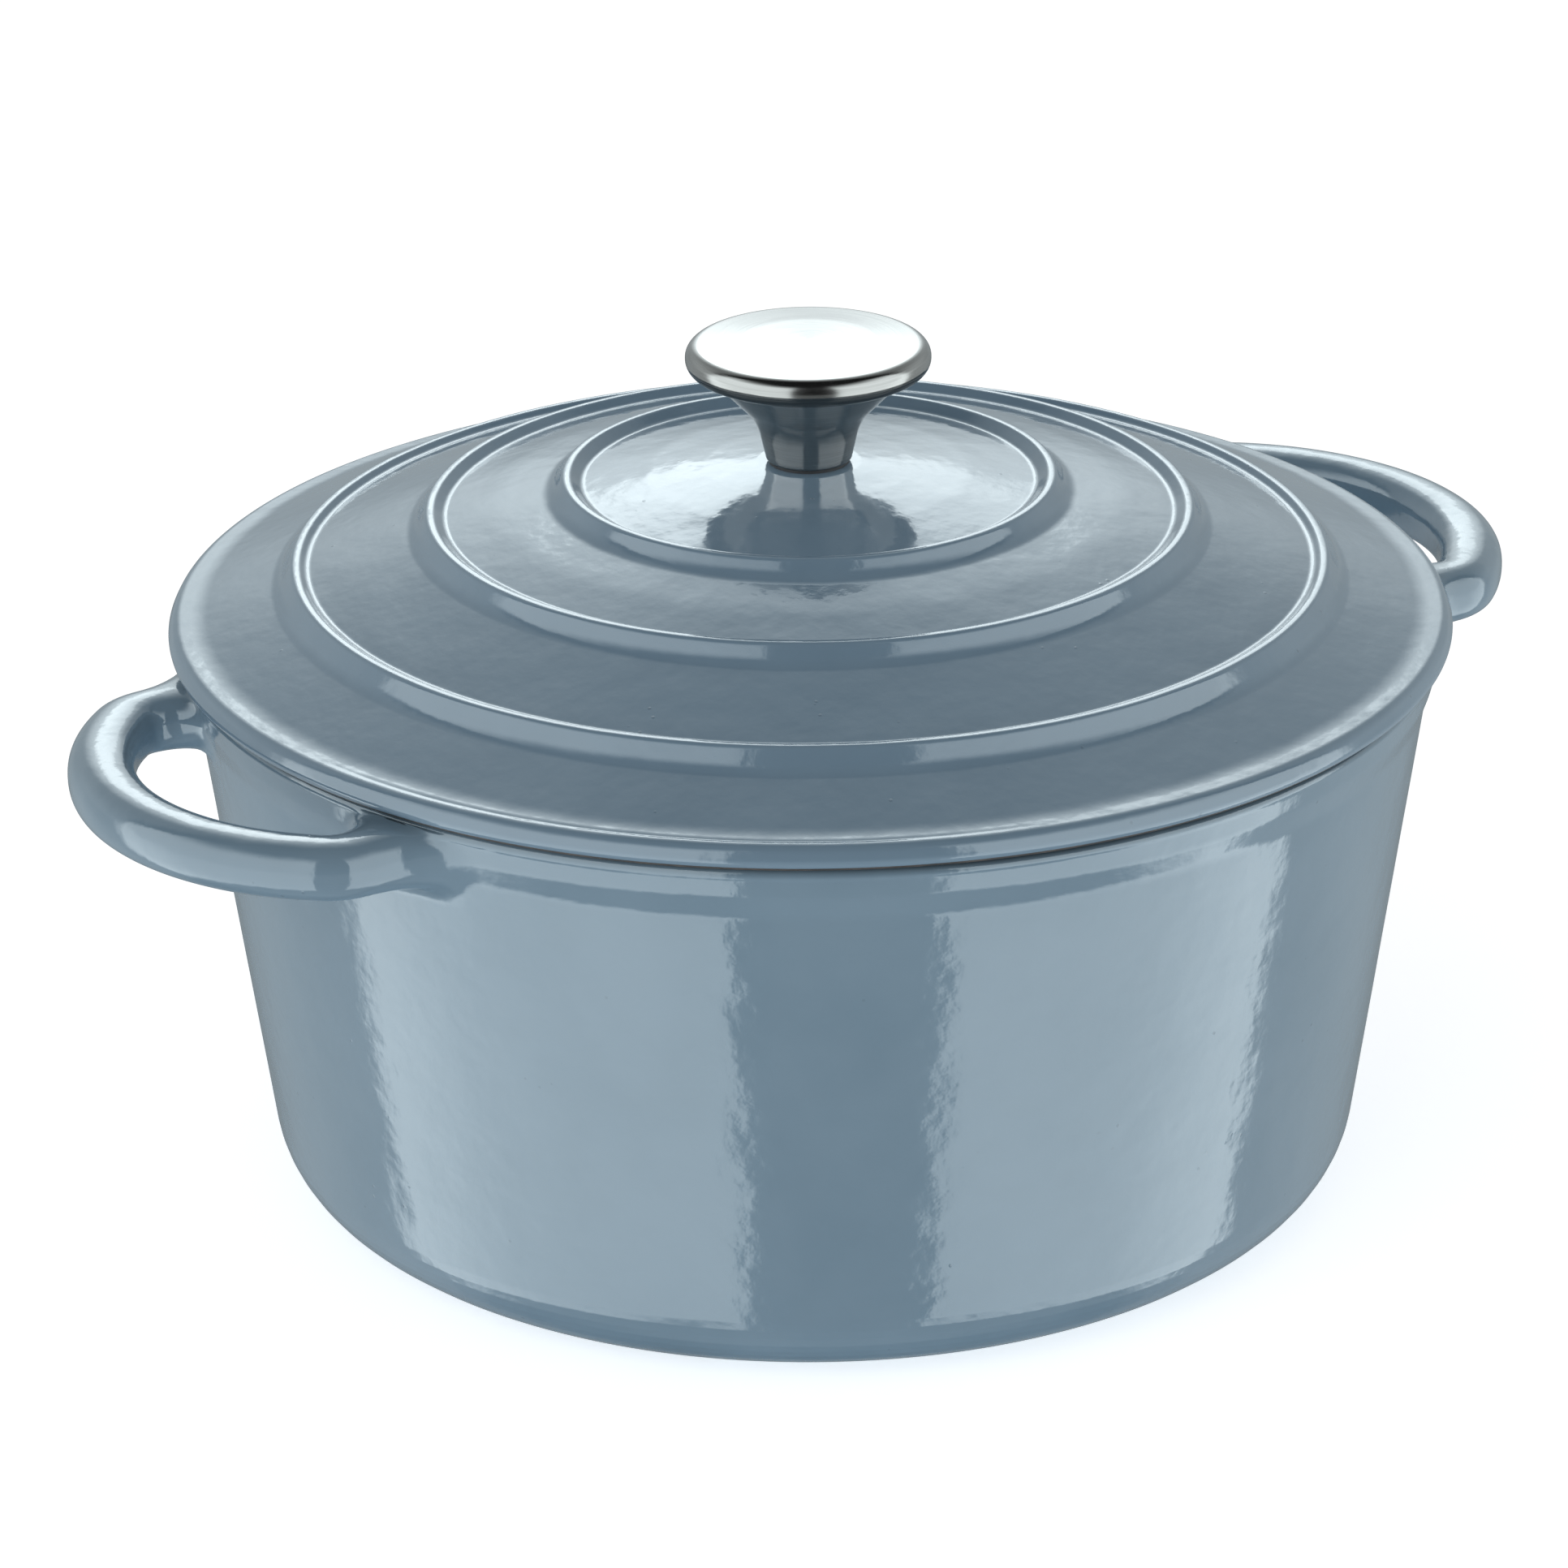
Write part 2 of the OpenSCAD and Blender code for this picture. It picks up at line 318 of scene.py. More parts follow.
def bare_rim(name):
    """Dark matte edge where the enamel is thin over the iron."""
    m, t, p, coord = new_material(name)
    grain = noise(t, coord, 700.0, 4.0, 0.65)
    blotch = noise(t, coord, 90.0, 3.0, 0.6).step(0.35, 0.7)
    col = mix_colour(t, blotch, (0.016, 0.014, 0.013), (0.045, 0.036, 0.031))
    col = mix_colour(t, grain.step(0.55, 0.75) * 0.4, col, (0.085, 0.062, 0.048))
    t.links.new(col, p.inputs["Base Color"])
    link(t, grain.line(0.3, 0.7, 0.42, 0.62), p.inputs["Roughness"])
    t.links.new(bump(t, grain, 0.00012), p.inputs["Normal"])
    return m


def brushed(name, base, rough, turned=True, ring_scale=2600.0):
    """Brushed stainless steel with fine turned lines around the Z axis."""
    m, t, p, coord = new_material(name)
    sep = t.nodes.new("ShaderNodeSeparateXYZ")
    link(t, coord, sep.inputs[0])
    x, y, z = (Val(t, sep.outputs[i]) for i in range(3))
    rad = (x * x + y * y).math("SQRT")
    comb = t.nodes.new("ShaderNodeCombineXYZ")
    ang = y.math("ARCTAN2", x)
    link(t, rad * 1.0, comb.inputs[0])
    link(t, z * 1.0, comb.inputs[1])
    link(t, ang * 0.00035, comb.inputs[2])
    lines = noise(t, comb.outputs[0], ring_scale, 3.0, 0.7)
    broad = noise(t, coord, 120.0, 2.0)
    col = mix_colour(t, lines.step(0.3, 0.7), tuple(c * 0.86 for c in base), base)
    t.links.new(col, p.inputs["Base Color"])
    p.inputs["Metallic"].default_value = 1.0
    link(t, (lines * 0.5 + broad * 0.5).line(0.3, 0.7, rough * 0.8, rough * 1.25), p.inputs["Roughness"])
    if turned:
        p.inputs["Anisotropic"].default_value = 0.55
        tan = t.nodes.new("ShaderNodeTangent")
        tan.direction_type = "RADIAL"
        tan.axis = "Z"
        t.links.new(tan.outputs[0], p.inputs["Tangent"])
    t.links.new(bump(t, lines, 0.000012), p.inputs["Normal"])
    return m


def plain_metal(name, base, rough, metallic=1.0, scale=500.0):
    m, t, p, coord = new_material(name)
    grain = noise(t, coord, scale, 4.0, 0.6)
    col = mix_colour(t, grain.step(0.3, 0.7), tuple(c * 0.8 for c in base), base)
    t.links.new(col, p.inputs["Base Color"])
    p.inputs["Metallic"].default_value = metallic
    link(t, grain.line(0.3, 0.7, rough * 0.8, rough * 1.3), p.inputs["Roughness"])
    t.links.new(bump(t, grain, 0.00001), p.inputs["Normal"])
    return m


# pot and lid wear one enamel: the pot's copy is painted a little darker (painted shade against the floor's light on
# the wall) and the lid's a little lighter (painted light)
blue_pot_shaded = enamel("enamel_blue_pot", (0.163, 0.244, 0.312), (0.155, 0.235, 0.302), (0.169, 0.251, 0.320), wave=1.6)
blue_lid_lightened = enamel("enamel_blue_lid", (0.166, 0.249, 0.324), (0.159, 0.240, 0.314), (0.172, 0.256, 0.332), wave=1.2)
cream = enamel("enamel_cream", (0.74, 0.70, 0.61), (0.70, 0.66, 0.57), (0.77, 0.73, 0.65), gloss=0.12)
rim_dark = bare_rim("rim_matte")
# painted shade: head and stem are one brushed steel, but the head's copy is set far darker than the stem's so its
# reflection in the lid comes out dark
steel_head_darkened = brushed("steel_knob_head", (0.21, 0.203, 0.195), 0.15)
steel_stem = brushed("steel_knob_stem", (0.46, 0.44, 0.425), 0.11)

# ---------------------------------------------------------------- pot

BASE_R, CORNER_R, POT_H = 99.3, 18.35, 123.2
DRAFT = math.radians(8.04)
LEAN = math.tan(DRAFT)
CX = BASE_R + CORNER_R * math.cos(DRAFT)
CZ = CORNER_R * (1 - math.sin(DRAFT))


def wall_r(z):
    return CX + (z - CZ) * LEAN


BAND_Z = POT_H - 9.2
BAND_R0, BAND_R1 = wall_r(BAND_Z) + 1.9, wall_r(POT_H) + 1.14
INNER_T = 4.0 / math.cos(DRAFT)
MOUTH_R = wall_r(POT_H) - INNER_T

OUT, RIM, IN = 0, 1, 2       # material slots: outside enamel, bare rim, inside enamel

pot_corners = [
    [0, 0.8, 0, OUT], [88, 0.8, 1.0, OUT], [90, 0, 1.2, RIM],
    [BASE_R - 3.0, 0, 0, RIM],
    [BASE_R + CORNER_R * 0.87, 0, CORNER_R, OUT],
    [wall_r(BAND_Z - 2.2), BAND_Z - 2.2, 13.0, OUT],
    [BAND_R0 - 0.5, BAND_Z + 2.8, 9.0, OUT],
    [BAND_R1, POT_H, 1.8, OUT],
    [MOUTH_R + 0.9, POT_H, 0.9, RIM],
    [MOUTH_R - 0.35, POT_H - 1.6, 1.0, IN],
    [wall_r(4.6) - INNER_T, 4.6, 16.35, IN],
    [0, 4.6, 0, IN]]
pts, tags = outline(pot_corners, 12, closed=False)
# the rounded base corner is a longer arc: finer than the small fillets
pts, tags = graded(pts, tags, 3.2, closed=False)


def thin_rows(points, tags, least=0.16):
    keep = [0]
    for i in range(1, len(points)):
        if np.linalg.norm(points[i] - points[keep[-1]]) > least or i == len(points) - 1:
            keep.append(i)
    return points[keep], [tags[i] for i in keep]


pts, tags = thin_rows(pts, tags)

# closer rows on the outside between z 94 and the rim, where the handles grow out of the wall
i_top = int(np.argmax(pts[:, 1] >= POT_H - 1e-6))
dense, dense_t = [], []
for i in range(len(pts)):
    dense.append(pts[i])
    dense_t.append(tags[i])
    if 0 < i < i_top and pts[i, 1] > 92 and i + 1 < len(pts):
        gap = np.linalg.norm(pts[i + 1] - pts[i])
        m = int(math.ceil(gap / 1.25))
        for q in range(1, m):
            dense.append(pts[i] + (pts[i + 1] - pts[i]) * q / m)
            dense_t.append(tags[i])
pts, tags = np.array(dense), dense_t

NSEG = 480
verts, rows = revolve(pts, NSEG)

# outside outline used for the wall's distance field
ring_pts, _ = outline([[0, 0.8, 0], [88, 0.8, 1.0], [90, 0, 1.2], [BASE_R + CORNER_R * 0.87, 0, CORNER_R],
                       [wall_r(BAND_Z - 2.2), BAND_Z - 2.2, 13.0], [BAND_R0 - 0.5, BAND_Z + 2.8, 9.0],
                       [BAND_R1, POT_H, 1.8], [0, POT_H, 0]], 12)
SEG_A = ring_pts
SEG_B = np.roll(ring_pts, -1, axis=0)


def wall_field(p):
    """Signed distance to the pot's outside, negative inside the solid outline."""
    q = np.stack([np.hypot(p[:, 0], p[:, 1]), p[:, 2]], 1)
    d2 = np.full(len(q), 1e18)
    cross = np.zeros(len(q), int)
    for a, b in zip(SEG_A, SEG_B):
        ab = b - a
        L2 = float(ab @ ab)
        if L2 < 1e-12:
            continue
        t = np.clip(((q - a) @ ab) / L2, 0, 1)
        e = q - (a + t[:, None] * ab)
        d2 = np.minimum(d2, (e ** 2).sum(1))
        hit = ((a[1] > q[:, 1]) != (b[1] > q[:, 1]))
        with np.errstate(divide="ignore", invalid="ignore"):
            xs = a[0] + (q[:, 1] - a[1]) * ab[0] / (ab[1] if ab[1] != 0 else 1e-30)
        cross += (hit & (q[:, 0] < xs)).astype(int)
    return np.sqrt(d2) * np.where(cross % 2 == 1, -1.0, 1.0)


# loop handle, +X side: main arc, two corner bends, two arms
ARC_X, ARC_R, BEND_R = 162.3 - 55.5, 55.5, 10.6
BEND = math.radians(50)
KX, KY = ARC_X + (ARC_R - BEND_R) * math.cos(BEND), (ARC_R - BEND_R) * math.sin(BEND)
ARM_Y = KY + BEND_R
HALF_W, HALF_H, POWER, GRIP_Z = 7.0, 6.2, 2.4, 115.3


def bar_offset(x, y):
    """Lateral offset from the bar's centre line, positive on the outer side, for y >= 0."""
    ax, ay = x - ARC_X, y
    ang = np.arctan2(ay, ax)
    r1 = np.hypot(ax, ay) - ARC_R
    bx, by = x - KX, y - KY
    ang2 = np.arctan2(by, bx)
    r2 = np.hypot(bx, by) - BEND_R
    r3 = y - ARM_Y
    u = np.where(x <= KX, r3, r2)
    return np.where((ang <= BEND) & (x > KX) & (ang2 < BEND), r1, u)


def bar_field(p, d_wall):
    x, y = p[:, 0], np.abs(p[:, 1])
    u = bar_offset(x, y)
    v = p[:, 2] - GRIP_Z
    s = np.clip(1 - d_wall / 12.5, 0, 1.15)
    near = np.where(x > KX + 9, 0.0, 1.0)
    a = HALF_W + near * 6.5 * s ** 3.0
    b = HALF_H + near * 0.9 * s ** 2
    gu, gv = np.abs(u) / a, np.abs(v) / b
    g = np.maximum((gu ** POWER + gv ** POWER) ** (1 / POWER), 1e-4)
    gu1, gv1 = gu ** (POWER - 1) / a, gv ** (POWER - 1) / b
    slope = np.maximum(g ** (1 - POWER) * np.hypot(gu1, gv1), 1e-4)
    return (g - 1) / slope


def field(p):
    dw = wall_field(p)
    db = bar_field(p, dw)
    k = 3.0
    h = np.clip(k - np.abs(dw - db), 0, k) / k
    d = np.minimum(dw, db) - h * h * h * k / 6.0
    return np.maximum(d, p[:, 2] - POT_H)


def settle(p, rounds=4, limit=2.0):
    """Moves points onto the blended surface along its gradient."""
    p = p.copy()
    sx, sy = np.where(p[:, 0] < 0, -1.0, 1.0), np.where(p[:, 1] < 0, -1.0, 1.0)
    p[:, 0] *= sx
    p[:, 1] *= sy
    e = 0.05
    for _ in range(rounds):
        d = field(p)
        g = np.stack([(field(p + dv) - field(p - dv)) / (2 * e) for dv in (np.eye(3) * e)], 1)
        n2 = np.maximum((g ** 2).sum(1), 0.05)
        move = -(d / n2)[:, None] * g
        size = np.linalg.norm(move, axis=1, keepdims=True)
        p += move * np.minimum(1, limit / np.maximum(size, 1e-9))
    p[:, 0] *= sx
    p[:, 1] *= sy
    return p


# window in the wall grid under each handle root
z_row = pts[:, 1]
outside_rows = [j for j in range(1, i_top + 1) if 97.0 <= z_row[j] <= 121.75]
J0, J1 = outside_rows[0], outside_rows[-1]
C0, C1 = 15, 39
ring_ij = [(i, J0) for i in range(C0, C1)] + [(C1, j) for j in range(J0, J1)] \
    + [(i, J1) for i in range(C1, C0, -1)] + [(C0, j) for j in range(J1, J0, -1)]
M = len(ring_ij)
counts = (C1 - C0, J1 - J0, C1 - C0, J1 - J0)

# bar section: M points, the window's corners matched to the section's corners, even spacing between
fine_t = np.linspace(-135, 225, 3601)


def oval_at(deg):
    t = np.radians(deg)
    c, s = np.cos(t), np.sin(t)
    return np.stack([HALF_W * np.sign(c) * np.abs(c) ** (2 / POWER),
                     HALF_H * np.sign(s) * np.abs(s) ** (2 / POWER)], 1)


oval = oval_at(fine_t)
arc_len = np.concatenate([[0], np.cumsum(np.linalg.norm(np.diff(oval, axis=0), axis=1))])
marks = []
for q, cnt in enumerate(counts):
    lo = np.interp(-135 + 90 * q, fine_t, arc_len)
    hi = np.interp(-45 + 90 * q, fine_t, arc_len)
    marks += [lo + (hi - lo) * i / cnt for i in range(cnt)]
section = oval_at(np.interp(marks, arc_len, fine_t))       # M x (u, v)


def bar_loop(cx, cy, ang):
    """Section with its outer side turned to ang, at the point cx, cy of the centre line."""
    return np.stack([cx + section[:, 0] * math.cos(ang), cy + section[:, 0] * math.sin(ang),
                     GRIP_Z + section[:, 1]], 1)


n_main, n_blend = 62, 20
skip = set()
for h in (0, 1):
    for s in (1, -1):
        for i in range(C0, C1):
            for j in range(J0, J1):
                col = i if s == 1 else (-i - 1)
                skip.add((j, (col + 240 * h) % NSEG))
faces, mats = skin(rows, False, tags, skip)

verts = list(map(tuple, verts))
blend_ids = []          # (ids, neighbours) used for smoothing
neigh = {}


def add_loop(loop):
    start = len(verts)
    verts.extend(map(tuple, loop))
    return np.arange(start, start + len(loop))


def tie(a, b):
    for i in range(M):
        faces.append((int(a[i]), int(a[(i + 1) % M]), int(b[(i + 1) % M]), int(b[i])))
        mats.append(OUT)


for h in (0, 1):
    turn = -1.0 if h else 1.0
    stations = np.linspace(BEND, -BEND, n_main + 1)
    loops = []
    for a in stations:
        lp = bar_loop(ARC_X + ARC_R * math.cos(a), ARC_R * math.sin(a), a)
        lp[:, :2] *= turn
        loops.append(add_loop(lp))
    for a, b in zip(loops, loops[1:]):
        tie(a, b)
    for s, end in ((1, loops[0]), (-1, loops[-1])):
        wall_ids = np.array([rows[j][((i if s == 1 else -i) + 240 * h) % NSEG] for i, j in ring_ij])
        e = np.array([verts[i] for i in end])
        w = np.array([verts[i] for i in wall_ids])
        mid = np.stack([np.full(M, KX - 4.0), s * (ARM_Y + section[:, 0] * 1.25), GRIP_Z + section[:, 1] * 1.05], 1)
        mid[:, :2] *= turn
        prev, chain = end, [end]
        for q in range(1, n_blend):
            t = q / n_blend
            lp = (1 - t) ** 2 * e + 2 * t * (1 - t) * mid + t * t * w
            ids = add_loop(lp)
            tie(prev, ids)
            prev = ids
            chain.append(ids)
        tie(prev, wall_ids)
        chain.append(wall_ids)
        blend_ids.append(np.array(chain))

verts = np.array(verts)
near_wall = []
for j in range(1, i_top + 4):
    if pts[j, 1] > 88:
        near_wall.append(rows[j])
near_wall = np.concatenate(near_wall)
aw = np.degrees(np.arctan2(np.abs(verts[near_wall, 1]), np.abs(verts[near_wall, 0])))
near_wall = near_wall[aw < 40]

for round_no in range(10):
    for chain in blend_ids:
        inner = chain[1:-1]
        up, down = verts[chain[:-2]], verts[chain[2:]]
        left, right = verts[np.roll(inner, 1, 1)], verts[np.roll(inner, -1, 1)]
        verts[inner] = 0.35 * verts[inner] + 0.65 * (up + down + left + right) / 4
    ids = np.concatenate([c[1:-1].ravel() for c in blend_ids])
    verts[ids] = settle(verts[ids], 3)
verts[near_wall] = settle(verts[near_wall], 5)
verts[ids] = settle(verts[ids], 4)

# the rim sits a little low along one stretch, as castings do, so the seam under the lid widens there
cam_az = np.degrees(np.arctan2(verts[:, 0] * math.cos(PHI) - verts[:, 1] * math.sin(PHI),
                               -(verts[:, 0] * math.sin(PHI) + verts[:, 1] * math.cos(PHI))))
low = np.clip((cam_az + 5) / 25, 0, 1) * np.clip((75 - cam_az) / 25, 0, 1)
low = low * low * (3 - 2 * low)
lift = np.clip((verts[:, 2] - 121.2) / 2.0, 0, 1)
verts[:, 2] -= 0.55 * low * lift

# slow unevenness of the casting, only inwards
rr = np.hypot(verts[:, 0], verts[:, 1])
nz = np.stack([verts[:, 0] / np.maximum(rr, 1), verts[:, 1] / np.maximum(rr, 1), np.zeros(len(rr))], 1)
wave = 0.5 * (ripple(verts, 11, [(60, 1.0, 5), (22, 0.35, 6)]) - 1)
side = (np.abs(verts[:, 2] - 62) < 59) & (rr > 100)
verts[side] += nz[side] * (0.12 * wave[side])[:, None]

pot = make_mesh("pot_shell", verts, faces, [blue_pot_shaded, rim_dark, cream], mats)
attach(pot, "pot")
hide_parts("pot_body")

# ---------------------------------------------------------------- lid

LID_Z = POT_H + 0.3
TOP_Z = LID_Z + 36.1
LID_R, LID_T, HOLE_R = 136.0, 3.6, 3.25


def dome(r):
    return TOP_Z + 0.9 - 268 + math.sqrt(268 * 268 - r * r)


def crown(r):
    return TOP_Z - r * r / 540


def ring(r, z, run_in, rise, run_out, drop):
    zc = LID_Z + z
    return [[r - run_in, zc - rise, 1.8, OUT], [r - 0.7, zc + 0.2, 1.2, OUT],
            [r + 0.9, zc + 0.1, 1.3, OUT], [r + run_out, zc - drop, 5.0, OUT]]


LIP_R = 127.2
lid_corners = [
    [HOLE_R, TOP_Z, 0, OUT], [11, TOP_Z, 0, OUT], [22, crown(22), 30, OUT], [34, crown(34), 40, OUT],
    *ring(51.2, 33.6, 3.2, 1.8, 3.3, 3.45), [66, LID_Z + 27.95, 110, OUT],
    *ring(80.2, 26.6, 3.1, 1.35, 3.4, 3.8), *ring(108.8, 16.0, 2.4, 0.95, 3.8, 4.4),
    [LID_R - 6.6, LID_Z + 5.84, 16, OUT], *[[LID_R - q, LID_Z + 5.84 - (6.6 - q) * 0.1164, 0, OUT] for q in (4.6, 4.2, 3.9, 3.6, 3.3, 3.0, 2.75)],
    [LID_R - 1.1, LID_Z + 5.2, 2.7, OUT],
    [LID_R + 0.53, LID_Z + 1.9, 1.6, OUT], [LID_R - 1.7, LID_Z, 0.5, RIM],
    [LIP_R, LID_Z, 0.5, RIM], [LIP_R - 0.6, LID_Z - 5, 1.4, RIM], [LIP_R - 5, LID_Z - 5, 1.4, RIM],
    [LIP_R - 6, LID_Z + 1.4, 2.5, IN],
    [111.4, dome(111.4) - LID_T - 2.3, 3.0, IN], [106.0, dome(106.0) - LID_T - 1.6, 3.0, IN],
    [82.4, dome(82.4) - LID_T - 1.6, 3.0, IN], [77.0, dome(77.0) - LID_T - 1.5, 3.0, IN],
    [53.4, dome(53.4) - LID_T - 1.5, 3.0, IN], [47.8, dome(47.8) - LID_T - 1.5, 3.0, IN],
    [16, crown(16) - LID_T, 2.0, IN], [13.5, TOP_Z - LID_T - 1.6, 1.2, IN],
    [HOLE_R, TOP_Z - LID_T - 1.6, 0, IN]]
lp, lt = outline(lid_corners, 9)
lp, lt = graded(lp, lt, 2.6, closed=True)
lp, lt = thin_rows(lp, lt, 0.1)
lv, lrows = revolve(lp, NSEG)
lf, lm = skin(lrows, True, lt)
rr = np.hypot(lv[:, 0], lv[:, 1])
wave = 0.5 * (ripple(lv, 23, [(70, 1.0, 5), (24, 0.3, 6)]) - 1)
taper = np.clip((rr - 14) / 20, 0, 1) * np.clip((lv[:, 2] - LID_Z - 3.5) / 4, 0, 1)
lv[:, 2] += 0.12 * wave * taper
turn = np.degrees(np.arctan2(lv[:, 1], lv[:, 0])) - math.degrees(-PHI)
turn = (turn + 90 + 180) % 360 - 180                 # 0 at the viewer's side of the rim
run = np.clip((34 - np.abs(turn + 14)) / 14, 0, 1)
lv[:, 2] -= run * 0.10 * np.exp(-((rr - (LID_R - 3.5)) / 0.45) ** 2) * (lv[:, 2] > LID_Z + 3.5)
lid = make_mesh("lid_shell", lv, lf, [blue_lid_lightened, rim_dark, cream], lm)

# drip nubs under the lid, joined into the shell
nv, nf = [], []
for i in range(18):
    r = 94.0 if i % 2 == 0 else 64.0
    zt = dome(r) - LID_T - 1.2
    a = math.radians(20 * i)
    cx, cy, zc = r * math.cos(a), r * math.sin(a), zt - 0.6
    prof = [(0.0, zc - 2.5)] + [(2.5 * math.sin(math.radians(q)), zc - 2.5 * math.cos(math.radians(q)))
                                for q in range(9, 91, 9)] + [(2.5, zc + 1.0), (2.3, zc + 2.4), (0.0, zc + 2.4)]
    v1, r1 = revolve(prof, 40)
    f1, _ = skin(r1, False, [IN] * len(prof))
    base = len(nv)
    nv += [(x + cx, y + cy, z) for x, y, z in v1]
    nf += [tuple(q + base for q in f) for f in f1]
nubs = make_mesh("nubs_tmp", nv, nf, [cream], None)
nubs.data.materials.clear()
for m in (blue_lid_lightened, rim_dark, cream):
    nubs.data.materials.append(m)
nubs.data.polygons.foreach_set("material_index", [IN] * len(nubs.data.polygons))
mod = lid.modifiers.new("nubs", "BOOLEAN")
mod.operation = "UNION"
mod.solver = "EXACT"
mod.object = nubs
bpy.context.view_layer.update()
dg = bpy.context.evaluated_depsgraph_get()
joined = bpy.data.meshes.new_from_object(lid.evaluated_get(dg))
lid.modifiers.clear()
old = lid.data
lid.data = joined
joined.name = "lid_shell"
bpy.data.meshes.remove(old)
bpy.data.objects.remove(nubs)
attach(lid, "lid")
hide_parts("lid")

# ---------------------------------------------------------------- knob

STEM_Z, HEAD_Z, HEAD_TOP = TOP_Z + 0.6, TOP_Z + 20.2, TOP_Z + 27.0
sp, st = outline([[5.0, STEM_Z, 0], [9.0, STEM_Z, 0.9], [11.0, STEM_Z + 8.8, 12.0],
                  [21.4, HEAD_Z, 0], [5.0, HEAD_Z, 0]], 20)
sp, st = graded(sp, st, 1.2, closed=True)
sv, srows = revolve(sp, 256)
sf, sm = skin(srows, True, st)
stem = make_mesh("knob_stem_turned", sv, sf, [steel_stem], sm)
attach(stem, "lid")
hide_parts("knob_stem")

hp, ht = outline([[0, HEAD_Z, 0], [21.6, HEAD_Z, 0], [25.85, HEAD_Z - 0.3, 2.9], [25.85, HEAD_Z + 5.8, 2.9],
                  [14, HEAD_TOP - 0.35, 60], [0, HEAD_TOP, 0]], 20, closed=False)
hp, ht = graded(hp, ht, 1.2, closed=False)
hp, ht = thin_rows(hp, ht, 0.05)
hv, hrows = revolve(hp, 256)
hf, hm = skin(hrows, False, ht)
head = make_mesh("knob_head_turned", hv, hf, [steel_head_darkened], hm)
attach(head, "lid")
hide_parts("knob_head")

# fastening parts stay as the CAD has them, with their own finishes
brass = plain_metal("brass_bush", (0.55, 0.40, 0.16), 0.28)
rubber = plain_metal("gasket_rubber", (0.03, 0.03, 0.032), 0.6, metallic=0.0)
zinc = brushed("screw_steel", (0.52, 0.52, 0.53), 0.26, turned=False)
for name, mat in (("knob_insert", brass), ("knob_gasket", rubber), ("screw_washer", zinc),
                  ("lock_washer", zinc), ("knob_screw", zinc)):
    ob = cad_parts[name]
    if not ob.material_slots:
        ob.data.materials.append(mat)
    for sl in ob.material_slots:
        sl.material = mat

# ---------------------------------------------------------------- stage, light, camera

fm, ft, fp, fcoord = new_material("floor_paper")
tone = noise(ft, fcoord, 2.0, 2.0).step(0.3, 0.7)
ft.links.new(mix_colour(ft, tone, (0.86, 0.86, 0.86), (0.88, 0.88, 0.88)), fp.inputs["Base Color"])
fp.inputs["Roughness"].default_value = 0.9
fp.inputs["Specular IOR Level"].default_value = 0.0
fp.inputs["Emission Color"].default_value = (1, 1, 1, 1)
fp.inputs["Emission Strength"].default_value = 0.62
floor = make_mesh("floor", [(-40000, -40000, 0), (40000, -40000, 0), (40000, 40000, 0), (-40000, 40000, 0)],
                  [(0, 1, 2, 3)], [fm], None, smooth=False)
floor.location.z = -0.0002
floor.visible_glossy = False

scene = bpy.context.scene
scene.view_settings.view_transform = "Standard"
world = bpy.data.worlds.new("studio")
scene.world = world
world.use_nodes = True
wt = world.node_tree
bg = wt.nodes["Background"]
gen = wt.nodes.new("ShaderNodeTexCoord").outputs["Generated"]
sep = wt.nodes.new("ShaderNodeSeparateXYZ")
wt.links.new(gen, sep.inputs[0])
wx, wy, wz = (Val(wt, sep.outputs[i]) for i in range(3))
xc = wx * math.cos(PHI) - wy * math.sin(PHI)
yc = wx * math.sin(PHI) + wy * math.cos(PHI)
deg = 180 / math.pi
az = xc.math("ARCTAN2", yc * -1.0) * deg            # 0 towards the camera, + to the viewer's right
el = wz.math("ARCSINE") * deg
over = wz.math("ARCTAN2", yc) * deg                 # 0 at the back horizon, 90 overhead, 180 front
absx = xc.math("ABSOLUTE")

panel = el.line(-45, 20, 3.0, 3.4) * el.step(34, 66, 1.0, 0.0) * el.step(-54, -46)
left = az.between(-108, -99, -18, -14) * panel
right = az.between(25, 29, 101, 107) * panel
high = absx.step(0.45, 0.85, 0.6, 0.95)
low = absx.step(0.15, 0.85, 0.22, 0.84)
edge = low + (high - low) * el.step(-18, 2)
sweep = yc.step(-0.30, 0.10) * el.step(-62, -48) * over.step(56, 70, 1.0, 0.0) * edge   # white backdrop behind
low_front = el.step(-2, -12) * yc.step(0.1, -0.2) * 0.35                    # pale floor in front
off = (xc + 0.015).math("ABSOLUTE")
halo = over.between(0, 24, 30, 60) * off.step(0.10, 0.38, 2.6, 0.25)        # lit backdrop glow
rise = (over - 27.0) * 0.1
side = xc * (1 / 0.17)
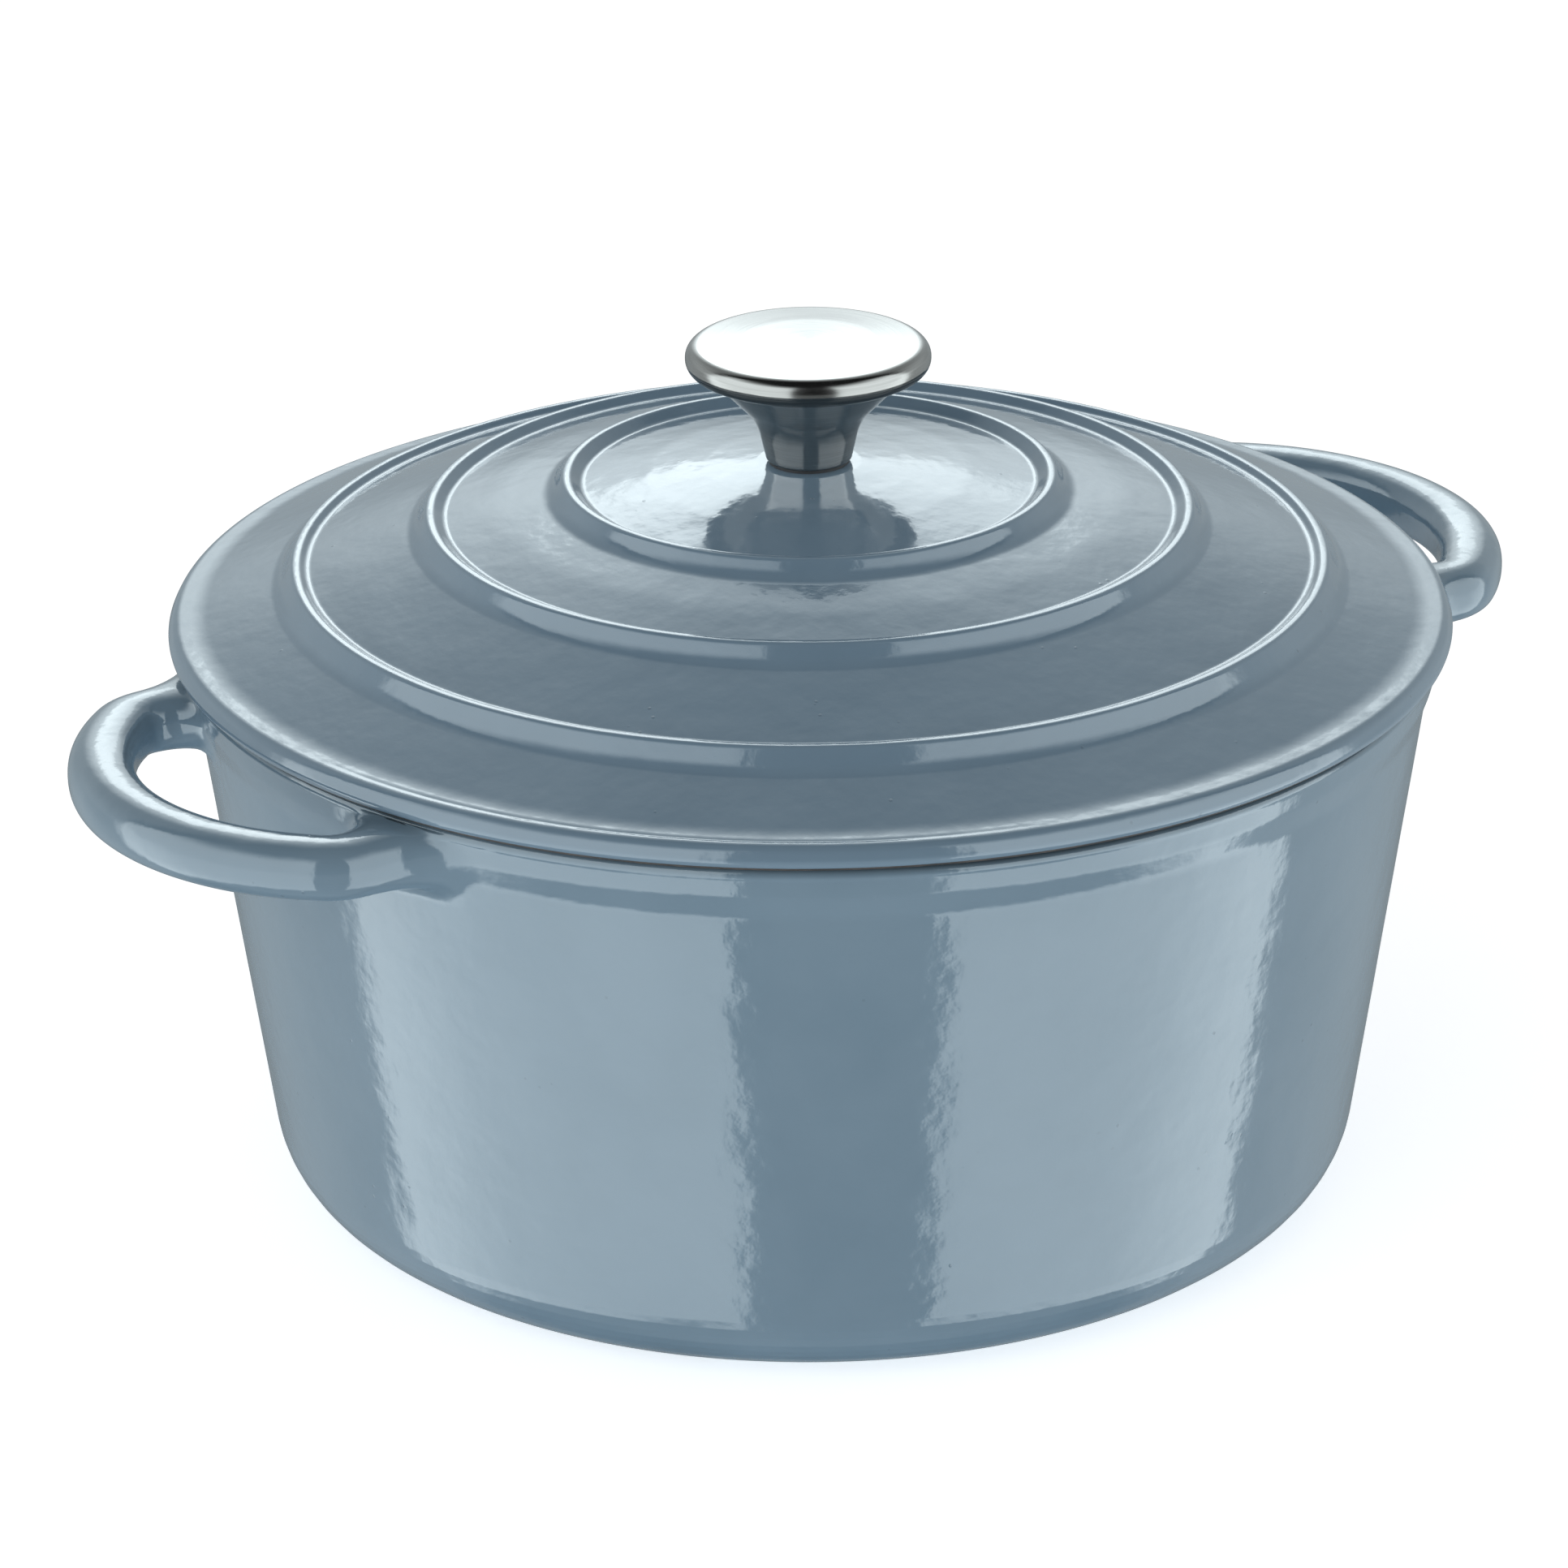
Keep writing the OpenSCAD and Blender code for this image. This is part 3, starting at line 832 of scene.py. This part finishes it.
core = (rise * rise + side * side).step(0.7, 1.2, 1.0, 0.0) * xc.line(-0.12, 0.12, 2.6, 1.4)
back = (halo + core) * yc.step(0.05, 0.3)
pattern = left + right + sweep + low_front + back + 0.04

lp_node = wt.nodes.new("ShaderNodeLightPath")
is_cam, is_glossy = Val(wt, lp_node.outputs["Is Camera Ray"]), Val(wt, lp_node.outputs["Is Glossy Ray"])
AMBIENT = 0.50
strength = is_cam * 1.05 + is_glossy * pattern + (is_cam * -1.0 - is_glossy + 1.0) * AMBIENT
wt.links.new(strength.s, bg.inputs["Strength"])
wt.links.new(mix_colour(wt, is_glossy, (1, 1, 1), (0.90, 1.0, 1.03)), bg.inputs["Color"])
world.cycles.sampling_method = "NONE"

key = bpy.data.lights.new("soft_key", "AREA")
key.shape = "RECTANGLE"
key.size, key.size_y = 1.6, 1.2
key.energy = 6.0
kob = bpy.data.objects.new("soft_key", key)
scene.collection.objects.link(kob)
kp = Vector((-1.5 * math.sin(PHI) - 0.9 * math.cos(PHI), -1.5 * math.cos(PHI) + 0.9 * math.sin(PHI), 1.5))
kob.location = kp
kob.rotation_euler = (Vector((0, 0, 0.08)) - kp).to_track_quat("-Z", "Y").to_euler()
kob.visible_glossy = False

cam = bpy.data.cameras.new("camera")
cam.sensor_width = 36.0
cam.lens = 156.32
cam.clip_start, cam.clip_end = 0.05, 200.0
cob = bpy.data.objects.new("camera", cam)
scene.collection.objects.link(cob)


def row_frame(v):
    x, y, z = v
    return Vector((x * math.cos(PHI) + y * math.sin(PHI), -x * math.sin(PHI) + y * math.cos(PHI), z))


R = row_frame((0.99995901, 0.00060606, -0.00903407))
U = row_frame((0.00809775, 0.38651016, 0.9222496))
F = row_frame((-0.0040507, 0.92228495, -0.38648941))
C = row_frame((0.0, -1.350477, 0.651542))
cob.matrix_world = Matrix(((R.x, U.x, -F.x, C.x), (R.y, U.y, -F.y, C.y), (R.z, U.z, -F.z, C.z), (0, 0, 0, 1)))
scene.camera = cob

bpy.context.view_layer.update()
